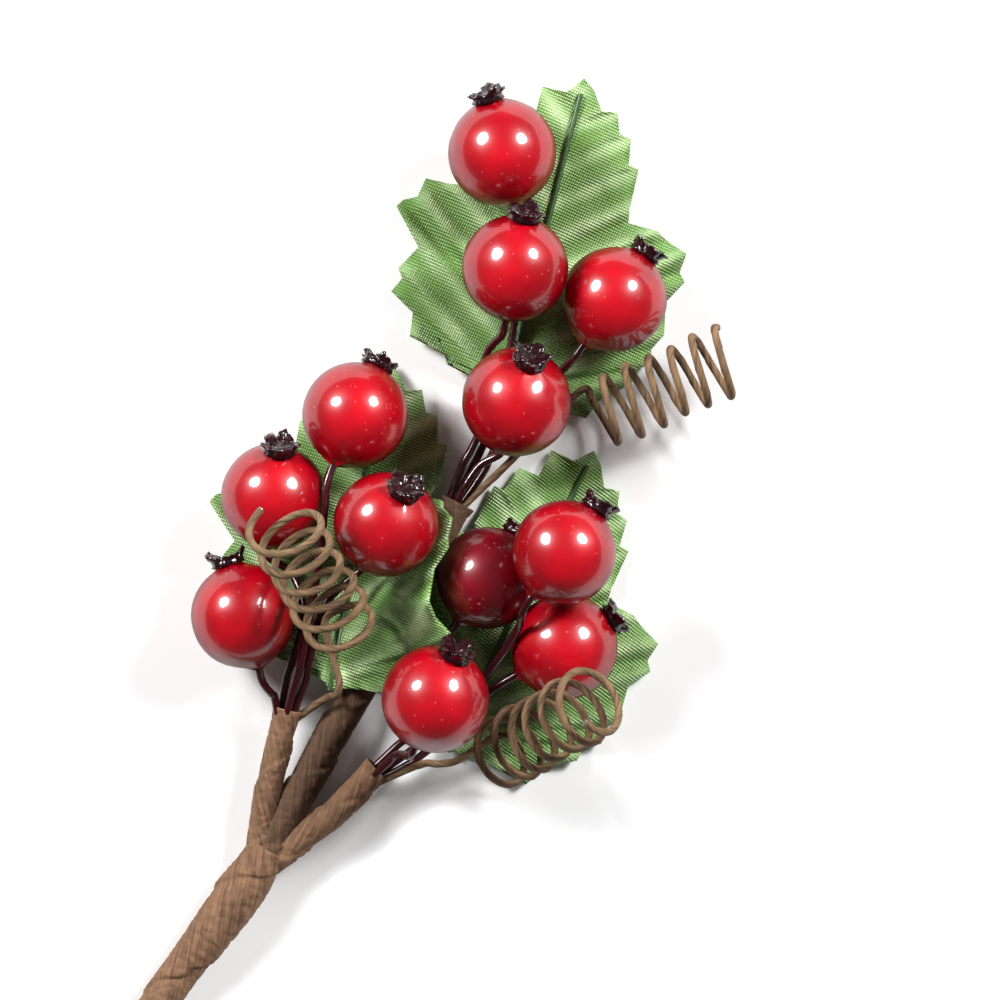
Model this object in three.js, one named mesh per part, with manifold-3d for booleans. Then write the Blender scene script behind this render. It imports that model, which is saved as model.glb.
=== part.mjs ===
// Lacquered berry pick: three wrapped branches with four foam berries each, three die-cut
// fabric leaves and three coiled wire tendrils, lying flat on a table.
// Millimetres, +Z up, the cut stem end towards -Y and the crown towards +Y.
import * as THREE from "three";
import { mergeVertices } from "three/addons/utils/BufferGeometryUtils.js";
import Module from "manifold-3d";

// ---------- driving dimensions ----------
const BERRY_D = 12; // stock foam berry; every other size grows with it
const GROW = BERRY_D / 12; // the places below are drawn for a 12 mm berry
const mm = (drawn) => drawn * GROW;
const GAP = 0.3; // clear air kept between two pieces that touch on the real pick
const PEDICEL_R = mm(0.48); // lacquered berry wire
const TENDRIL_R = mm(0.46); // paper covered tendril wire
const COIL_R = mm(3.8); // tendril coil, measured to the middle of the wire
const RIB_R = mm(0.4); // wire glued along the middle of a leaf
const LEAF_L = mm(38); // leaf, base to tip
const LEAF_T = mm(0.4); // stiffened leaf cloth with its glue
const PLEAT = mm(0.55); // height of a pressed pleat at the leaf's edge
const TAPE = mm(0.35); // wound paper tape on a branch, all layers
const STEM_LENGTH = mm(75); // wrapped stem below the fork
const STEM_LEAN = -11.5; // degrees the stem turns from the sprig's own line
const STEM_R_FORK = mm(2.9);
const STEM_R_WAIST = mm(2.3);
const STEM_R_END = mm(2.1);
const SWELL_RUN = mm(11); // the tape's swelling at the fork dies away over this length
const SWELL_ENDS = mm(14);
const THIN_STARTS = mm(9); // from here on the stem thins, down to its end's radius
const THIN_ENDS = mm(26);
const CUT_BACK = mm(0.4); // wires end this far inside the tape at the cut end
const BORE_PAST = mm(1); // the bore is cut a little past both ends of the tape
const CORE_SHARE = 0.985; // share of a branch's length that its wires fill
const LOOP_UNEVEN = 0.05; // share by which a hand-wound loop is wider or tighter than the next

// ---------- colours ----------
const PAINT = {
  berry: { color: "#c2001b", roughness: 0.12, metalness: 0 },
  calyx: { color: "#2a0a10", roughness: 0.3, metalness: 0 },
  pedicel: { color: "#3a0d14", roughness: 0.28, metalness: 0 },
  leaf: { color: "#5e8c3a", roughness: 0.62, metalness: 0 },
  rib: { color: "#2f5426", roughness: 0.45, metalness: 0 },
  tape: { color: "#9a7453", roughness: 0.85, metalness: 0 },
  tendril: { color: "#6e5439", roughness: 0.8, metalness: 0 },
  wire: { color: "#b9babb", roughness: 0.35, metalness: 1 },
};

const wasm = await Module();
wasm.setup();

// ---------- small helpers ----------
const at = (across, along, height) =>
  new THREE.Vector3(mm(across), mm(along), mm(height));
const radians = THREE.MathUtils.degToRad;
const smooth = (points) => new THREE.CatmullRomCurve3(points, false, "centripetal");
// A direction turned clockwise from +Y and then tilted up, both in degrees.
const heading = (turn, tilt) =>
  new THREE.Vector3(
    Math.sin(radians(turn)) * Math.cos(radians(tilt)),
    Math.cos(radians(turn)) * Math.cos(radians(tilt)),
    Math.sin(radians(tilt)),
  );

const pick = new THREE.Group();
pick.name = "berry_pick";

function addNode(name, geometry, paint) {
  const mesh = new THREE.Mesh(geometry, new THREE.MeshStandardMaterial({ ...PAINT[paint] }));
  mesh.name = name;
  pick.add(mesh);
}

// Round wire of one thickness along a curve, closed at both ends.
function wire(curve, radius, sides, steps) {
  const ring = new THREE.Shape().absarc(0, 0, radius, 0, 2 * Math.PI, false);
  return new THREE.ExtrudeGeometry(ring, {
    steps,
    curveSegments: sides / 2, // three.js gives an arc twice as many points as this
    bevelEnabled: false,
    extrudePath: curve,
  });
}

// The stretch of a curve between two shares of its length.
function stretch(curve, from, to) {
  const marks = 12;
  const points = [];
  for (let i = 0; i <= marks; i++) {
    points.push(curve.getPointAt(Math.min(1, from + ((to - from) * i) / marks)));
  }
  return smooth(points);
}

// The curve made longer in a straight line at its start and its end.
function lengthened(curve, atStart, atEnd) {
  const first = curve.getPointAt(0).addScaledVector(curve.getTangentAt(0), -atStart);
  const last = curve.getPointAt(1).addScaledVector(curve.getTangentAt(1), atEnd);
  const between = stretch(curve, 0, 1).points;
  if (atStart > 0) between.unshift(first);
  if (atEnd > 0) between.push(last);
  return smooth(between);
}

// ---------- cutting and joining ----------
function toSolid(geometry) {
  const bare = geometry.clone();
  bare.deleteAttribute("normal");
  bare.deleteAttribute("uv");
  const merged = mergeVertices(bare, 1e-3);
  return new wasm.Manifold(
    new wasm.Mesh({
      numProp: 3,
      vertProperties: new Float32Array(merged.getAttribute("position").array),
      triVerts: new Uint32Array(merged.index.array),
    }),
  );
}

function fromSolid(solid) {
  const mesh = solid.getMesh();
  const geometry = new THREE.BufferGeometry();
  geometry.setAttribute("position", new THREE.BufferAttribute(mesh.vertProperties, 3));
  geometry.setIndex(new THREE.BufferAttribute(mesh.triVerts, 1));
  const facets = geometry.toNonIndexed();
  facets.computeVertexNormals();
  return facets;
}

const joined = (solids) => solids.reduce((all, next) => all.add(next));

// ---------- the wrapped branches ----------
// Each branch runs from the fork to its mouth, where the berry wires come out.
const BRANCHES = {
  left: {
    outer: mm(1.5),
    stub: 0.6,
    line: smooth([
      at(0, -2, 2.9),
      at(-2.0, 5, 3.3),
      at(-3.3, 10.6, 3.9),
      at(-4.0, 14.2, 4.4),
      at(-4.7, 17.6, 5.0),
    ]),
  },
  centre: {
    outer: mm(2.0),
    stub: 0.28,
    line: smooth([
      at(0, -2, 2.9),
      at(0.5, 6, 2.7),
      at(0.8, 13, 2.9),
      at(1.3, 20, 3.6),
      at(2.2, 33.6, 3.5),
      at(2.7, 47, 3.5),
    ]),
  },
  right: {
    outer: mm(1.6),
    stub: 0.58,
    line: smooth([
      at(0, -2, 2.9),
      at(2.2, 4, 3.3),
      at(4.9, 9.0, 3.3),
      at(6.4, 12.4, 3.3),
      at(7.7, 15.3, 3.6),
    ]),
  },
};

const stemDirection = heading(180 - STEM_LEAN, 0);
function stemPoint(distance, radius) {
  return new THREE.Vector3(0, 0, radius).addScaledVector(stemDirection, distance);
}
// Tape piles up towards the fork, so the stem is thickest there; its underside stays level.
const stemRadius = (distance) => {
  const swell = THREE.MathUtils.smoothstep(SWELL_ENDS - distance, 0, SWELL_RUN);
  const thin = THREE.MathUtils.smoothstep(distance, THIN_STARTS, THIN_ENDS);
  return STEM_R_WAIST + (STEM_R_FORK - STEM_R_WAIST) * swell - (STEM_R_WAIST - STEM_R_END) * thin;
};

// A round bar whose thickness follows the stem's own radius, closed at both ends.
function stemBar(from, to, radiusAt, sides, steps) {
  const positions = [];
  const index = [];
  const side = new THREE.Vector3(-stemDirection.y, stemDirection.x, 0);
  for (let i = 0; i <= steps; i++) {
    const distance = from + ((to - from) * i) / steps;
    const centre = stemPoint(distance, stemRadius(distance));
    for (let k = 0; k < sides; k++) {
      const angle = (2 * Math.PI * (k + 0.5)) / sides;
      const p = centre.clone().addScaledVector(side, radiusAt(distance) * Math.cos(angle));
      p.z += radiusAt(distance) * Math.sin(angle);
      positions.push(p.x, p.y, p.z);
    }
  }
  const first = positions.length / 3;
  for (const distance of [from, to]) {
    const c = stemPoint(distance, stemRadius(distance));
    positions.push(c.x, c.y, c.z);
  }
  for (let k = 0; k < sides; k++) {
    const next = (k + 1) % sides;
    for (let i = 0; i < steps; i++) {
      const a = i * sides + k;
      const b = i * sides + next;
      index.push(a, b, a + sides, b, b + sides, a + sides);
    }
    index.push(first, next, k, first + 1, steps * sides + k, steps * sides + next);
  }
  const geometry = new THREE.BufferGeometry();
  geometry.setAttribute("position", new THREE.Float32BufferAttribute(positions, 3));
  geometry.setIndex(index);
  return geometry;
}

const BRANCH_SIDES = 12;
const coreRadius = (branch) => branch.outer - TAPE - GAP;
const mainCoreRadius = STEM_R_END - TAPE - GAP;

function buildStems() {
  const branches = Object.values(BRANCHES);
  const stemSteps = 10;
  const outers = [toSolid(stemBar(0, STEM_LENGTH, stemRadius, 14, stemSteps))];
  const bores = [
    toSolid(
      stemBar(-BORE_PAST, STEM_LENGTH + BORE_PAST, () => mainCoreRadius + GAP, 12, stemSteps),
    ),
  ];
  const cores = [
    toSolid(stemBar(-BORE_PAST, STEM_LENGTH - CUT_BACK, () => mainCoreRadius, 10, stemSteps)),
  ];
  for (const branch of branches) {
    const stub = stretch(branch.line, 0, branch.stub);
    outers.push(toSolid(wire(stub, branch.outer, BRANCH_SIDES, 6)));
    const bore = lengthened(branch.line, 0, BORE_PAST);
    bores.push(toSolid(wire(bore, coreRadius(branch) + GAP, 12, 14)));
    cores.push(toSolid(wire(stretch(branch.line, 0, CORE_SHARE), coreRadius(branch), 8, 14)));
  }
  const bore = joined(bores);
  addNode("stem_wrap", fromSolid(joined(outers).subtract(bore)), "tape");
  addNode("wire_bundle", fromSolid(joined(cores)), "wire");
  for (const [name, branch] of Object.entries(BRANCHES)) {
    const start = branch.stub + GAP / branch.line.getLength();
    const sleeve = toSolid(wire(stretch(branch.line, start, 1), branch.outer, BRANCH_SIDES, 9));
    addNode(`branch_wrap_${name}`, fromSolid(sleeve.subtract(bore)), "tape");
  }
}

// ---------- berries, their dark crowns and their wires ----------
// at: middle of the berry; faces: way its crown points (turn from +Y, tilt up), degrees;
// via: where its wire passes on the way from the branch's mouth.
const BERRIES = {
  centre: [
    {
      at: [-9.2, 84.4, 7.6],
      r: 6.15,
      faces: [-40, 14],
      via: [[2.6, 56.0, 3.6], [0.6, 66.0, 3.5], [-2.6, 75.0, 3.8]],
    },
    { at: [-2.4, 73.2, 11.3], r: 6.05, faces: [-15, 22], via: [[1.6, 55.8, 4.4], [-1.2, 63.0, 6.0]] },
    { at: [9.2, 74.8, 8.2], r: 6.0, faces: [9, 0], via: [[4.3, 55.2, 3.4], [6.0, 61.6, 3.6]] },
    { at: [4.1, 59.7, 11.0], r: 6.2, faces: [-8, 41], via: [[3.4, 51.4, 5.0]] },
  ],
  left: [
    {
      at: [-11.7, 50.8, 8.6],
      r: 6.1,
      faces: [-2, -14],
      via: [[-5.2, 21.4, 7.8], [-7.2, 30.0, 8.8], [-9.8, 38.4, 10.6]],
    },
    {
      at: [-16.2, 38.6, 7.6],
      r: 5.95,
      faces: [-17, 30],
      via: [[-6.4, 22.4, 6.4], [-7.4, 27.8, 5.8], [-10.8, 31.4, 3.8]],
    },
    {
      at: [-3.3, 41.2, 12.9],
      r: 6.0,
      faces: [3, 44],
      via: [[-4.5, 22.6, 7.2], [-5.7, 30.0, 7.0]],
    },
    { at: [-13.6, 25.0, 7.8], r: 6.0, faces: [-41, 0], via: [] },
  ],
  right: [
    { at: [9.5, 40.4, 7.5], r: 5.8, faces: [9, -6], via: [[9.0, 20.4, 4.2], [8.4, 29.0, 5.4]] },
    {
      at: [16.0, 46.7, 15.4],
      r: 5.9,
      faces: [11, 0],
      via: [[10.4, 19.8, 4.8], [13.6, 28.6, 6.6], [15.0, 37.0, 12.6]],
    },
    { at: [20.7, 37.0, 8.0], r: 6.0, faces: [35, 6], via: [[11.6, 19.6, 4.0], [14.6, 27.6, 6.2]] },
    { at: [9.9, 26.0, 14.7], r: 6.15, faces: [-2, 27], via: [[8.6, 17.8, 6.2]] },
  ],
};

const NECK = mm(0.5); // lacquer cone where the wire goes in
const SEAT = mm(0.35); // lacquer cone under the crown
const BERRY_SIDES = 18;
const BERRY_ROWS = 7;

function berryShape(r) {
  const profile = [new THREE.Vector2(0, -r - NECK), new THREE.Vector2(mm(0.75), -r - NECK)];
  for (let i = 0; i <= BERRY_ROWS; i++) {
    const angle = radians(-76 + (152 * i) / BERRY_ROWS);
    profile.push(new THREE.Vector2(r * Math.cos(angle), r * Math.sin(angle)));
  }
  profile.push(new THREE.Vector2(mm(1.0), r + SEAT), new THREE.Vector2(0, r + SEAT));
  return new THREE.LatheGeometry(profile, BERRY_SIDES);
}

// Crumpled five-lobed crown: a small cup with a raised, uneven rim.
function crownShape() {
  const lobes = 5;
  const points = 2 * lobes;
  const rings = [
    { r: [mm(1.4), mm(1.2)], z: [0, 0] },
    { r: [mm(2.2), mm(1.6)], z: [mm(1.2), mm(0.8)] },
    { r: [mm(1.5), mm(1.0)], z: [mm(1.5), mm(0.9)] },
  ];
  const positions = [0, 0, 0];
  for (const ring of rings) {
    for (let k = 0; k < points; k++) {
      const angle = (2 * Math.PI * k) / points;
      const r = ring.r[k % 2] * (1 + 0.12 * Math.sin(3 * angle));
      positions.push(r * Math.cos(angle), r * Math.sin(angle), ring.z[k % 2]);
    }
  }
  positions.push(0, 0, mm(0.7));
  const last = positions.length / 3 - 1;
  const index = [];
  for (let k = 0; k < points; k++) {
    const next = (k + 1) % points;
    index.push(0, 1 + next, 1 + k);
    for (let ring = 0; ring < rings.length - 1; ring++) {
      const low = 1 + ring * points;
      const high = low + points;
      index.push(low + k, low + next, high + k, low + next, high + next, high + k);
    }
    index.push(last - points + k, last - points + next, last);
  }
  const geometry = new THREE.BufferGeometry();
  geometry.setAttribute("position", new THREE.Float32BufferAttribute(positions, 3));
  geometry.setIndex(index);
  return geometry;
}

// Start of wire number k out of a branch's mouth, on a ring of six just past the bundle.
function mouthPoint(branch, k) {
  const along = branch.line.getTangentAt(1);
  const sideways = new THREE.Vector3(along.y, -along.x, 0).normalize();
  const upward = new THREE.Vector3().crossVectors(sideways, along).normalize();
  const angle = radians(60 * k + 30);
  const ring = mm(1.5);
  return branch.line
    .getPointAt(1)
    .addScaledVector(along, GAP + PEDICEL_R * 0.6)
    .addScaledVector(sideways, ring * Math.cos(angle))
    .addScaledVector(upward, ring * Math.sin(angle));
}

const TO_UP = new THREE.Vector3(0, 0, 1);
const LATHE_AXIS = new THREE.Vector3(0, 1, 0);
// Place around the mouth of each branch's four berry wires, so that they don't cross.
const SLOTS = { centre: [4, 2, 5, 1], left: [1, 3, 0, 2], right: [3, 4, 5, 1] };

function buildBerries() {
  for (const [side, group] of Object.entries(BERRIES)) {
    const branch = BRANCHES[side];
    group.forEach((berry, number) => {
      const name = `${side}_${number + 1}`;
      const middle = at(...berry.at);
      const axis = heading(...berry.faces);
      const r = mm(berry.r);
      const ball = berryShape(r);
      ball.applyQuaternion(new THREE.Quaternion().setFromUnitVectors(LATHE_AXIS, axis));
      ball.translate(...middle.toArray());
      addNode(`berry_${name}`, ball, "berry");

      const crown = crownShape();
      crown.applyQuaternion(new THREE.Quaternion().setFromUnitVectors(TO_UP, axis));
      crown.translate(...middle.clone().addScaledVector(axis, r + SEAT + GAP).toArray());
      addNode(`calyx_${name}`, crown, "calyx");

      const end = middle.clone().addScaledVector(axis, -(r + NECK + GAP));
      const before = middle.clone().addScaledVector(axis, -(r + NECK + mm(1.4)));
      const route = smooth([
        mouthPoint(branch, SLOTS[side][number]),
        ...berry.via.map((place) => at(...place)),
        before,
        end,
      ]);
      addNode(`pedicel_${name}`, wire(route, PEDICEL_R, 6, 14), "pedicel");
    });
  }
}

// ---------- coiled tendrils ----------
// lead: way from the mouth to the coil; from, to: ends of the coil's middle line.
const TENDRILS = {
  centre: {
    lead: [[6.2, 53.0, 4.6], [8.2, 58.6, 3.5], [9.4, 62.0, 4.4]],
    from: [12.9, 61.9, 6.8],
    to: [23.8, 74.2, 7.8],
    turns: 6,
    begins: 200,
    slot: 0,
  },
  left: {
    lead: [[-2.5, 19.5, 4.8], [-0.2, 21.8, 8.4]],
    from: [-2.2, 28.0, 10.8],
    to: [-13.6, 36.4, 22.8],
    turns: 6,
    begins: 250,
    slot: 5,
  },
  right: {
    lead: [[11.6, 18.0, 4.6], [14.6, 19.6, 5.0]],
    from: [18.8, 22.4, 7.4],
    to: [26.2, 33.6, 20.2],
    turns: 6.5,
    begins: 250,
    slot: 0,
  },
};

function tendrilRoute(tendril, branch) {
  const from = at(...tendril.from);
  const line = at(...tendril.to).sub(from);
  const along = line.clone().normalize();
  const sideways = new THREE.Vector3().crossVectors(along, TO_UP).normalize();
  const upward = new THREE.Vector3().crossVectors(sideways, along);
  const points = [mouthPoint(branch, tendril.slot), ...tendril.lead.map((p) => at(...p))];
  const perTurn = 12;
  const marks = Math.round(tendril.turns * perTurn);
  for (let i = 0; i <= marks; i++) {
    const angle = radians(tendril.begins) + (2 * Math.PI * i) / perTurn;
    const r = COIL_R * (1 + LOOP_UNEVEN * Math.sin(1.7 * angle));
    points.push(
      from
        .clone()
        .addScaledVector(line, i / marks)
        .addScaledVector(sideways, r * Math.cos(angle))
        .addScaledVector(upward, r * Math.sin(angle)),
    );
  }
  return { route: smooth(points), steps: marks + 14 };
}

function buildTendrils() {
  for (const [side, tendril] of Object.entries(TENDRILS)) {
    const { route, steps } = tendrilRoute(tendril, BRANCHES[side]);
    addNode(`tendril_${side}`, wire(route, TENDRIL_R, 6, steps), "tendril");
  }
}

// ---------- die-cut leaves ----------
// One cutting die for all three leaves. Its edge from the base to the tip, along and across
// the middle rib, in hundredths of the leaf's length; teeth and notches take turns.
const DIE_RIGHT = [
  [2.6, 20.3], [1.8, 25.3], [8.9, 28.7], [14.7, 35.8], [18.7, 36.1], [22.6, 40.3],
  [26.3, 39.2], [31.3, 41.8], [41.1, 40.0], [48.2, 43.9], [50.8, 41.8], [56.6, 42.4],
  [59.2, 35.5], [61.1, 32.1], [61.3, 23.4], [65.3, 22.6], [77.6, 22.4], [77.9, 19.2],
  [85.8, 17.9], [86.3, 14.2], [92.6, 12.1], [91.6, 7.4], [97.1, 3.7],
];
const DIE_LEFT = [
  [8.2, 11.6], [7.4, 18.7], [13.7, 23.9], [12.6, 31.6], [19.5, 32.6], [24.2, 40.3],
  [28.7, 38.2], [31.3, 40.0], [38.9, 35.8], [49.2, 45.0], [51.6, 43.7], [53.4, 39.7],
  [59.5, 38.7], [59.5, 30.8], [61.3, 23.4], [65.3, 22.6], [77.6, 22.4], [77.9, 19.2],
  [85.8, 17.9], [86.1, 11.6], [94.7, 11.6], [94.5, 4.2],
];
const VEIN_RAKE = 0.72; // how far a side vein runs forward for each step across
const ROOT_STEP = 0.9; // least way along the rib between two pleats, hundredths of the length
const LAST_ROOT = 99; // no pleat leaves the rib beyond this, so the tip stays whole
const ROOT_SQUEEZE = 0.05; // pleats near the tip share what room is left

// Where the pleat that ends at an edge point leaves the middle rib.
function veinRoots(edge) {
  let behind = 0;
  return edge.map(([along, across], i) => {
    behind = Math.max(behind + ROOT_STEP, along - VEIN_RAKE * across, i + 1);
    behind = Math.min(behind, LAST_ROOT - (edge.length - i) * ROOT_SQUEEZE);
    return behind;
  });
}

// turn: way the tip points; lift(u, v) raises the cloth, u along and v across the rib in mm;
// fold: past fold.from(u) across the rib, the right half stands up by fold.angle(u) degrees.
const LEAVES = {
  centre: {
    base: [2.7, 59.0],
    turn: -10.8,
    lift: (u, v) => 1.3 - 0.028 * u - 0.035 * Math.abs(v),
  },
  left: {
    base: [-1.2, 21.3],
    turn: -15.5,
    lift: (u, v) => {
      const rib = 1.7 + 4.6 * (1 - THREE.MathUtils.smoothstep(u, 3, 17));
      return rib + (0.7 - rib) * THREE.MathUtils.smoothstep(-v, 0, 11.5);
    },
    fold: {
      from: (u) => 2.5 + 2.4 * THREE.MathUtils.smoothstep(u, 11, 20),
      angle: (u) => {
        const rise = 10 + 52 * THREE.MathUtils.smoothstep(u, 3, 13);
        return rise * (1 - THREE.MathUtils.smoothstep(u, 22.5, 27));
      },
    },
  },
  right: {
    base: [13.8, 20.4],
    turn: 1,
    lift: (u, v) => 0.8 - 0.006 * u - 0.02 * Math.abs(v),
  },
};

function leafPoint(leaf, u, v, pleat) {
  const along = heading(leaf.turn, 0);
  const across = heading(leaf.turn + 90, 0);
  let flatV = v;
  let z = mm(leaf.lift(u / GROW, v / GROW)) + pleat;
  if (leaf.fold && v > mm(leaf.fold.from(u / GROW))) {
    const beyond = v - mm(leaf.fold.from(u / GROW));
    const angle = radians(leaf.fold.angle(u / GROW));
    flatV = v - beyond * (1 - Math.cos(angle));
    z += beyond * Math.sin(angle);
  }
  return at(leaf.base[0], leaf.base[1], 0)
    .addScaledVector(along, u)
    .addScaledVector(across, flatV)
    .setZ(z);
}

const PLEAT_MARKS = [0.14, 0.32, 0.6, 1]; // places along each pleat, from the rib to the edge

function leafSkin(leaf) {
  const unit = LEAF_L / 100;
  const positions = [];
  const faces = [];
  const put = (p) => positions.push(p) - 1;
  const base = put(leafPoint(leaf, 0, 0, 0));
  const tip = put(leafPoint(leaf, LEAF_L, 0, 0));
  // The rib gets one point for every pleat of either side, in order along it.
  const sides = [
    { edge: DIE_RIGHT, sign: 1 },
    { edge: DIE_LEFT, sign: -1 },
  ];
  const ribMarks = [];
  sides.forEach(({ edge }) => veinRoots(edge).forEach((root) => ribMarks.push(root)));
  ribMarks.sort((a, b) => a - b);
  const ribPoints = ribMarks.map((root) => put(leafPoint(leaf, root * unit, 0, 0)));
  for (const { edge, sign } of sides) {
    const roots = veinRoots(edge);
    const rows = edge.map(([along, across], i) => {
      const ridge = i % 2 === 1 ? 1 : -0.4;
      return PLEAT_MARKS.map((share) => {
        const u = (roots[i] + (along - roots[i]) * share) * unit;
        return put(leafPoint(leaf, u, sign * across * share * unit, ridge * PLEAT * share));
      });
    });
    const turned = (a, b, c) => faces.push(sign > 0 ? [a, b, c] : [a, c, b]);
    const chain = [base, ...ribPoints, tip];
    const shares = [0, ...ribMarks, 100];
    // Fans from the rib to each row's first point, stepping along whichever is behind.
    let spot = 0;
    let previous = null;
    rows.forEach((row, i) => {
      const goal = shares.indexOf(roots[i]);
      while (spot < goal) {
        const anchor = previous ? previous[0] : row[0];
        turned(chain[spot], anchor, chain[spot + 1]);
        spot += 1;
      }
      if (previous) {
        turned(chain[spot], previous[0], row[0]);
        for (let k = 0; k + 1 < row.length; k++) {
          turned(previous[k], previous[k + 1], row[k]);
          turned(previous[k + 1], row[k + 1], row[k]);
        }
      }
      previous = row;
    });
    while (spot < chain.length - 1) {
      turned(chain[spot], previous[0], chain[spot + 1]);
      spot += 1;
    }
    const lastRow = previous;
    for (let k = 0; k + 1 < lastRow.length; k++) turned(lastRow[k], lastRow[k + 1], tip);
  }
  return { positions, faces };
}

// The skin given a thickness: a second copy set back along the cloth's own normals.
function thickened(positions, faces, thickness) {
  const normals = positions.map(() => new THREE.Vector3());
  const edges = new Map();
  for (const [a, b, c] of faces) {
    const normal = new THREE.Vector3()
      .subVectors(positions[b], positions[a])
      .cross(new THREE.Vector3().subVectors(positions[c], positions[a]));
    for (const corner of [a, b, c]) normals[corner].add(normal);
    for (const [from, to] of [[a, b], [b, c], [c, a]]) edges.set(`${from},${to}`, [from, to]);
  }
  const count = positions.length;
  const flat = [];
  for (const p of positions) flat.push(p.x, p.y, p.z);
  positions.forEach((p, i) => {
    const low = p.clone().addScaledVector(normals[i].normalize(), -thickness);
    flat.push(low.x, low.y, low.z);
  });
  const index = [];
  for (const [a, b, c] of faces) index.push(a, b, c, a + count, c + count, b + count);
  for (const [from, to] of edges.values()) {
    if (edges.has(`${to},${from}`)) continue;
    index.push(from, from + count, to, to, from + count, to + count);
  }
  const geometry = new THREE.BufferGeometry();
  geometry.setAttribute("position", new THREE.Float32BufferAttribute(flat, 3));
  geometry.setIndex(index);
  return geometry;
}

function buildLeaves() {
  for (const [side, leaf] of Object.entries(LEAVES)) {
    const { positions, faces } = leafSkin(leaf);
    const cloth = thickened(positions, faces, LEAF_T);
    cloth.computeBoundingBox();
    const drop = -cloth.boundingBox.min.z; // each leaf comes to rest on the table
    cloth.translate(0, 0, drop);
    addNode(`leaf_${side}`, cloth, "leaf");
    const ribSpots = [];
    const marks = 8;
    for (let i = 0; i <= marks; i++) {
      const u = (LEAF_L * (0.01 + 0.95 * i)) / marks;
      const spot = leafPoint(leaf, u, 0, 0);
      spot.z += drop + RIB_R + GAP * 1.5;
      ribSpots.push(spot);
    }
    addNode(`leaf_rib_${side}`, wire(smooth(ribSpots), RIB_R, 6, 10), "rib");
  }
}

buildStems();
buildBerries();
buildTendrils();
buildLeaves();

// ---------- the shared frame: middle of the footprint, on the table ----------
const box = new THREE.Box3().setFromObject(pick);
for (const mesh of pick.children) {
  mesh.geometry.translate(
    -(box.min.x + box.max.x) / 2,
    -(box.min.y + box.max.y) / 2,
    -box.min.z,
  );
}

export default pick;
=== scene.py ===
# %% [markdown]
# # A lacquered berry pick
# Twelve glossy foam berries on dark wires, three pressed cloth leaves, three coiled
# paper-wire tendrils and a stem wound in brown paper tape. The CAD model is the frame: every
# visible piece below is built along a CAD piece, so that it sits exactly where that piece is.

# %% Load the frame
import math
import random

import bmesh
import bpy
import numpy as np
from mathutils import Matrix, Vector, noise


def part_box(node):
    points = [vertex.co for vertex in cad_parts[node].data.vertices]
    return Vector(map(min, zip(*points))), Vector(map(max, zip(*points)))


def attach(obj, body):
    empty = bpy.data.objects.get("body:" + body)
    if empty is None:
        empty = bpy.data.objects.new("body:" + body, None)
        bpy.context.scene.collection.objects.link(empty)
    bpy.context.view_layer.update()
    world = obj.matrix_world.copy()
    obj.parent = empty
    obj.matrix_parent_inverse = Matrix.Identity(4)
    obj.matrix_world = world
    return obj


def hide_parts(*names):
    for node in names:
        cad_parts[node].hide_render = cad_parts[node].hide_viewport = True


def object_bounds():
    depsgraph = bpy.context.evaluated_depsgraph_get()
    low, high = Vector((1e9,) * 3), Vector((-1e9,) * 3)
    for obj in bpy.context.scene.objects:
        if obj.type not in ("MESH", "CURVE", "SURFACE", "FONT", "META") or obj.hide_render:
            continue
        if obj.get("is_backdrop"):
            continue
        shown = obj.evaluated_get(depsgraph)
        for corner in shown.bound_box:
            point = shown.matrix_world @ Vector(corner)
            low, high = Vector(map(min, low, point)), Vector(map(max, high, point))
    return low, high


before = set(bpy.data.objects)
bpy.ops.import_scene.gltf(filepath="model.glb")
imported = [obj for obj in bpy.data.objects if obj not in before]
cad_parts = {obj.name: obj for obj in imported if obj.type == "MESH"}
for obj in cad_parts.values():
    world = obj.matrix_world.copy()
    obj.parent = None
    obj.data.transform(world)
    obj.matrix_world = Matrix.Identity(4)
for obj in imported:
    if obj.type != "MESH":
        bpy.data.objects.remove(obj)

CAD_BOX = [list(corner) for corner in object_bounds()]
MM = 0.001
SEED = 7
noise.seed_set(SEED)  # noise_vector starts from the clock otherwise, and no two runs would match
print("CAD box in mm", [[round(v / MM, 1) for v in corner] for corner in CAD_BOX])

# %% [markdown]
# ## Reading a CAD piece
# A CAD mesh is loose triangles. A copy with its doubles merged can be walked from vertex to
# vertex, which is how the middle line of a bent wire is found: the wire was made of rings,
# so starting from the ring at one end, the unvisited neighbours are always the next ring.


# %% A merged copy of a CAD piece, as points and faces
def merged_copy(node):
    mesh = bmesh.new()
    mesh.from_mesh(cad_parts[node].data)
    bmesh.ops.remove_doubles(mesh, verts=mesh.verts, dist=2e-6)
    mesh.verts.index_update()
    mesh.verts.ensure_lookup_table()
    return mesh


# %% The middle line of a wire, from the rings of its CAD piece
def wire_line(node):
    mesh = merged_copy(node)
    low = [v for v in mesh.verts if len(v.link_edges) < 6]
    start = min(low, key=lambda v: v.co.y)
    near = sorted(low, key=lambda v: (v.co - start.co).length)[:3]
    normal = (near[1].co - near[0].co).cross(near[2].co - near[0].co).normalized()
    ring = [v for v in mesh.verts
            if abs((v.co - start.co).dot(normal)) < 2e-5 and (v.co - start.co).length < 1.3 * MM]
    seen = set(ring)
    line = []
    radius = 0.0
    while ring:
        middle = sum((v.co for v in ring), Vector()) / len(ring)
        line.append(middle)
        radius = max(radius, max((v.co - middle).length for v in ring))
        following = {e.other_vert(v) for v in ring for e in v.link_edges} - seen
        seen |= following
        # Kept in order, because a sum rounds differently when its points come in another order.
        ring = sorted(following, key=lambda v: v.index)
    mesh.free()
    return line, radius


def middle_of(node):
    low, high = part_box(node)
    return (Vector(low) + Vector(high)) / 2


for name in ("tendril_centre", "pedicel_left_1"):
    line, radius = wire_line(name)
    print(name, len(line), "rings, wire", round(2 * radius / MM, 2), "mm thick")

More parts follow.
